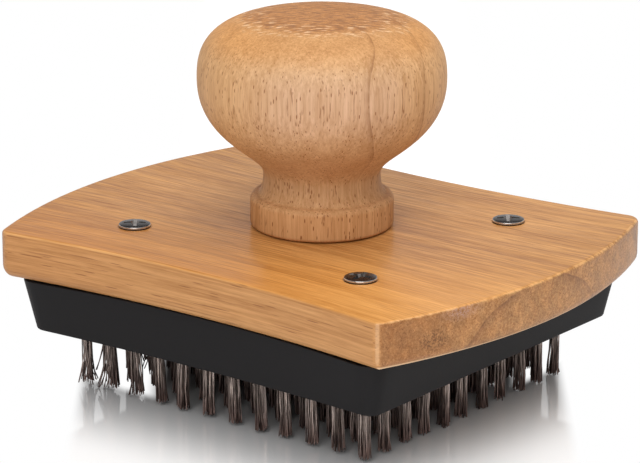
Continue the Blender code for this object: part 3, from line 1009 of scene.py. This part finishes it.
# %% Knob screw
knob_screw_length = 42.0 * MM
knob_screw_sides = 32
knob_screw_plain = 4.0 * MM
screw_end = board_low.z + knob_screw_length
thread_low = board_high.z + knob_screw_plain
section = [(0, board_low.z), (knob_screw_head_radius, board_low.z),
           (knob_screw_shank_radius, board_low.z + knob_screw_cone_depth),
           (knob_screw_shank_radius, thread_low - thread_end)]
section += reversed(threaded(screw_end, thread_low, knob_screw_shank_radius))
section.append((0, screw_end))
bm = bmesh.new()
spin(bm, section, knob_screw_sides, wave=thread_wave(thread_low, screw_end, False))
knob_screw = mesh_object("knob_screw_fine", bm)
knob_screw.data.materials.append(plated_steel)
applied(knob_screw, smooth_degrees=30)
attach(knob_screw, "root")
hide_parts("knob_screw")

# %% [markdown]
# ## Block
# The block's walls slope inwards towards the wires, so that it leaves its mould. The same bowing rule
# with other sizes draws its long sides in: a little at the lower edge, and as much as the board's own
# sides at the top, where the two meet.

# %% Block
block_low, block_high = [Vector(corner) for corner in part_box("brush_block")]
block_flare = 2.9 * MM
block_edge_round = 0.8 * MM
block_corner = 3.8 * MM
block_side_waist = 2.1 * MM
block_top_ease = 0.25 * MM
block_half_x = block_high.x - block_flare
block_half_y = block_high.y - block_flare

rings = [(block_edge_round + flat_margin, block_low.z)] + edge_round(block_edge_round, block_low.z, 1)
ease_share = block_top_ease / (block_high.z - block_low.z)
top_reach = -block_flare * (1 - ease_share)
top_rings = reversed(edge_round(block_top_ease, block_high.z, -1))
rings += [(top_reach + inset, height) for inset, height in top_rings]
rings += [(top_reach + block_top_ease + flat_margin, block_high.z)]
block = slab("block_fine", block_half_x, block_half_y, [block_corner] * 4, rings)
add_tree(block, bow_tree, {"Half X": block_half_x, "Half Y": block_half_y, "Low": block_low.z,
                           "High": block_high.z, "End bow": 0.0, "Low waist": block_side_waist,
                           "High waist": board_side_waist, "Finish": black_plastic})
print("block:", round(2 * block_high.x / MM, 1), "mm long at its top")

# %% [markdown]
# ## Holes in the block
# The wires stand in round blind holes. A second tree repeats one hole over a grid, and that grid is
# cut out of the underside in one go. The board screws bite into four pilot holes in the upper face.

# %% Holes in the block
tuft_pitch = 8.2 * MM
tuft_columns = 12
tufts_in_row = 11
tuft_hole_radius = 1.62 * MM
tuft_hole_depth = 7.0 * MM
tuft_hole_sides = 16
pilot_sides = 24

hole_tree, given = new_geometry_tree("hole_field", ("Pitch", "Height"), ("Columns", "Rows"))
columns, rows = given["Columns"], given["Rows"]
grid_sizes = {"Size X": given["Pitch"] * (columns - 1), "Size Y": given["Pitch"] * (rows - 1),
              "Vertices X": columns, "Vertices Y": rows}
grid = columns.node("GeometryNodeMeshGrid", grid_sizes)
raised = grid.node("GeometryNodeSetPosition", {"Geometry": grid, "Offset": grid.xyz(z=given["Height"])})
copies = {"Points": raised, "Instance": given["Geometry"]}
end_tree(grid.node("GeometryNodeInstanceOnPoints", copies), given["Finish"])
bm = bmesh.new()
tuft_hole = [(0, -past), (tuft_hole_radius, -past), (tuft_hole_radius, tuft_hole_depth), (0, tuft_hole_depth)]
spin(bm, tuft_hole, tuft_hole_sides)
tuft_holes = mesh_object("tuft_holes", bm)
add_tree(tuft_holes, hole_tree, {"Pitch": tuft_pitch, "Columns": tuft_columns, "Rows": tufts_in_row,
                                 "Height": block_low.z, "Finish": black_plastic})
applied(tuft_holes, smooth_degrees=30)
cut(block, tuft_holes)

bm = bmesh.new()
bore = screw_shank_radius + gap
pilot = [(0, tip - gap), (bore, tip - gap + screw_point), (bore, block_high.z + past),
         (0, block_high.z + past)]
spin_at_screws(bm, pilot, pilot_sides)
pilots = mesh_object("pilots", bm)
cut(block, pilots)
applied(block, smooth_degrees=30)
discard(tuft_holes, pilots)
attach(block, "root")
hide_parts("brush_block")

# %% [markdown]
# ## Wire tufts
# A tuft is a bundle of steel wires, folded in two and pressed into its hole, so that each wire shows
# two ends. One geometry tree makes a whole row. It starts with one straight line for each wire. The
# number of a line says which tuft and which wire it is, and the place of a point along its line says
# how far it is from the fold. A random number that depends only on these stays the same in each run.

# %% One line for each wire
wires_in_tuft = 17
wire_radius = 0.15 * MM
wire_points = 15
hole_share = 2 / 7

tuft_sizes = ("Row X", "Pitch", "Wire radius", "Face height", "Root depth", "Bundle radius", "Tip spread",
              "Lean", "Tip scatter")
tuft_tree, given = new_geometry_tree("wire_row", tuft_sizes, ("Tufts", "Wires", "Seed"))
face, wires, row_x = given["Face height"], given["Wires"], given["Row X"]


def chance(source, draw, low=0.0, high=1.0):
    """A random number that stays the same for each whole number in source and each draw."""
    limits = {"Min": low, "Max": high, "ID": source, "Seed": given["Seed"] + draw}
    return source.node("FunctionNodeRandomValue", limits, data_type="FLOAT")


count = given["Tufts"] * wires
points = count.node("GeometryNodeMeshLine", {"Count": count, "Offset": (0, 0, 0)})
line = points.node("GeometryNodeCurvePrimitiveLine", {"Start": (0, 0, 0), "End": (0, 0, 1)})
line = line.node("GeometryNodeResampleCurve", {"Curve": line, "Count": wire_points})
lines = points.node("GeometryNodeInstanceOnPoints", {"Points": points, "Instance": line})
lines = lines.node("GeometryNodeRealizeInstances", {"Geometry": lines})
wire = lines.node("GeometryNodeCurveOfPoint", output="Curve Index")
along = wire.out("Index in Curve") - (wire_points - 1) / 2
side = along.math("SIGN")
reach = along.math("ABSOLUTE") / ((wire_points - 1) / 2)
in_hole = 1 - (reach / hole_share).math("MINIMUM", 1)
free = ((reach - hole_share) / (1 - hole_share)).math("MAXIMUM", 0)
tuft = (wire / wires).math("FLOOR")
number = wire - tuft * wires
leg = wire * 2 + side
tuft_y = given["Pitch"] * (tuft - (given["Tufts"] - 1) * 0.5)
print("wires:", wires_in_tuft * tufts_in_row * tuft_columns)

# %% [markdown]
# ## How a wire bends
# The wires stand in a sunflower pattern in the hole and spread towards their tips, and each tuft
# leans a little its own way. A few wires are bent out of their tuft, most of them at the left and
# right corners. Every wire is cut to a slightly different length, and the tips stay just off the
# floor. Use has swept the tufts along the front long side back a little, more so towards the left.

# %% The bend of each wire
bundle_radius = 1.22 * MM
tip_spread = 0.32
spread_range = (0.6, 1.4)
tuft_lean = 0.45 * MM
lean_range = (0.3, 1.5)
tip_scatter = 1.7 * MM
tip_least = 0.05 * MM
root_range = (0.7, 0.95)
golden_angle = math.pi * (3 - math.sqrt(5))
tuft_turn = 2.3
full_turn = 2 * math.pi
corner_mm = (62, 86)
stray_share = (0.012, 0.22)
stray_mm = (0.8, 3.4)
wave_height = 0.14
wave_turns = (7.0, 16.0)
wave_start = (0, 6.0)
swept_y_mm = (-41, -12)
swept_x_mm = (-5, 15)
swept_tip = 1.1 * MM
swept_right_share = 0.3
swept_aside = 0.3
swept_lift = 0.8 * MM

angle = number * golden_angle + tuft * tuft_turn + given["Seed"]
radius = given["Bundle radius"] * ((number + 0.5) / wires).math("SQRT")
spread = (1 - in_hole) + free * given["Tip spread"] * chance(leg, 1, *spread_range)
out = radius * side * spread
swept = tuft_y.step_mm(*swept_y_mm, 1, 0)
swept_far = swept * free * row_x.step_mm(*swept_x_mm, swept_tip, swept_right_share * swept_tip)
corner = (row_x + tuft_y).math("ABSOLUTE").step_mm(*corner_mm, *stray_share)
stray = chance(leg, 2).math("LESS_THAN", corner) * free * free * chance(leg, 3, *stray_mm) * MM
stray_angle = chance(leg, 4, 0, full_turn)
lean_angle = chance(tuft, 5, 0, full_turn)
lean = given["Lean"] * free * chance(tuft, 6, *lean_range)
wave = (reach * chance(leg, 7, *wave_turns) + chance(leg, 8, *wave_start)).math("SINE")
wave = wave * free.math("SQRT") * wave_height * MM

x = row_x + angle.math("COSINE") * out + stray_angle.math("COSINE") * stray
x = x + lean_angle.math("COSINE") * lean + wave * side - swept_far * swept_aside
y = tuft_y + angle.math("SINE") * out + swept_far
y = y + stray_angle.math("SINE") * stray + lean_angle.math("SINE") * lean + wave
tip_height = chance(leg, 9) * chance(leg, 10) * given["Tip scatter"] + swept * swept_lift + tip_least
z = face + given["Root depth"] * in_hole * chance(wire, 11, *root_range) - (face - tip_height) * free
print("a tuft is", 2 * bundle_radius / MM, "mm across and its wires", 2 * wire_radius / MM, "mm")

# %% [markdown]
# ## Rows of tufts
# The bent lines become tubes with four sides, which is enough for wires this thin. Each of the
# twelve columns gets the same tree with its own place and seed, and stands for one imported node.

# %% Rows of tufts
wire_sides = 4
first_seed = 11
seeds_per_row = 7

bent = x.node("GeometryNodeSetPosition", {"Geometry": lines, "Position": x.xyz(x, y, z)})
round_sizes = {"Resolution": wire_sides, "Radius": given["Wire radius"]}
ring = bent.node("GeometryNodeCurvePrimitiveCircle", round_sizes)
tubes = {"Curve": bent, "Profile Curve": ring, "Fill Caps": True}
end_tree(ring.node("GeometryNodeCurveToMesh", tubes), given["Finish"])

for row in range(tuft_columns):
    node = "tuft_row_%02d" % (row + 1)
    tufts = mesh_object(node + "_fine", bmesh.new())
    add_tree(tufts, tuft_tree, {
        "Row X": tuft_pitch * (row - (tuft_columns - 1) / 2), "Tufts": tufts_in_row, "Pitch": tuft_pitch,
        "Wires": wires_in_tuft, "Wire radius": wire_radius, "Face height": block_low.z,
        "Root depth": tuft_hole_depth, "Bundle radius": bundle_radius, "Tip spread": tip_spread,
        "Lean": tuft_lean, "Tip scatter": tip_scatter, "Seed": first_seed + seeds_per_row * row,
        "Finish": steel_wire})
    applied(tufts, smooth_degrees=60)
    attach(tufts, "root")
    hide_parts(node)
